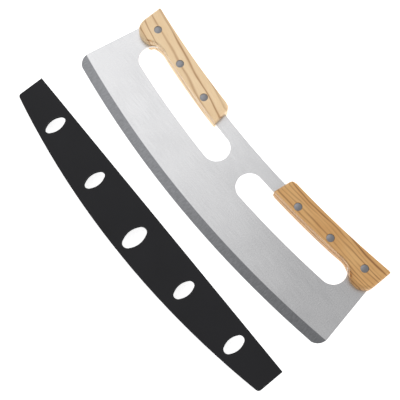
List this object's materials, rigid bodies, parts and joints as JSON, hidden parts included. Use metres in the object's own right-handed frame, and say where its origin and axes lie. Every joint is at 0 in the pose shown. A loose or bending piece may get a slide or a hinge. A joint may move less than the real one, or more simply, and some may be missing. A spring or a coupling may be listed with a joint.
{
  "type": "rocking pizza knife",
  "caption": "Curved rocking pizza cutter: steel blade with hand slots, riveted wooden handles on its spine and a slip-on cover for its edge.",
  "frame": {"origin": "on the back face of the blade, in the plane that divides its two halves, 39 mm above the lowest point of the edge", "axes": "+X along the knife to its right end, +Y from the cutting edge to the handles, +Z out of the front face"},
  "size_m": [0.3636, 0.1803, 0.02],
  "materials": {
    "blade_steel": "satin, ground lengthways",
    "left_wood": "oiled, pale with a few darker lines",
    "right_wood": "oiled, straight brown grain",
    "rivet_steel": "polished dome",
    "cover_plastic": "matte"
  },
  "bodies": {
    "knife": {"blade": "blade_steel", "left_scale_front": "left_wood", "left_scale_back": "left_wood", "right_scale_front": "right_wood", "right_scale_back": "right_wood", "rivet_left_inner_cap": "rivet_steel", "rivet_left_inner_pin": "rivet_steel", "rivet_left_middle_cap": "rivet_steel", "rivet_left_middle_pin": "rivet_steel", "rivet_left_outer_cap": "rivet_steel", "rivet_left_outer_pin": "rivet_steel", "rivet_right_inner_cap": "rivet_steel", "rivet_right_inner_pin": "rivet_steel", "rivet_right_middle_cap": "rivet_steel", "rivet_right_middle_pin": "rivet_steel", "rivet_right_outer_cap": "rivet_steel", "rivet_right_outer_pin": "rivet_steel"},
    "cover": {"blade_cover": "cover_plastic"}
  },
  "joints": [
    {"name": "cover_slide", "type": "slide", "parent": "knife", "child": "cover", "axis": [0.0856, 0.9963, 0], "range_m": [0, 0.064]}
  ]
}
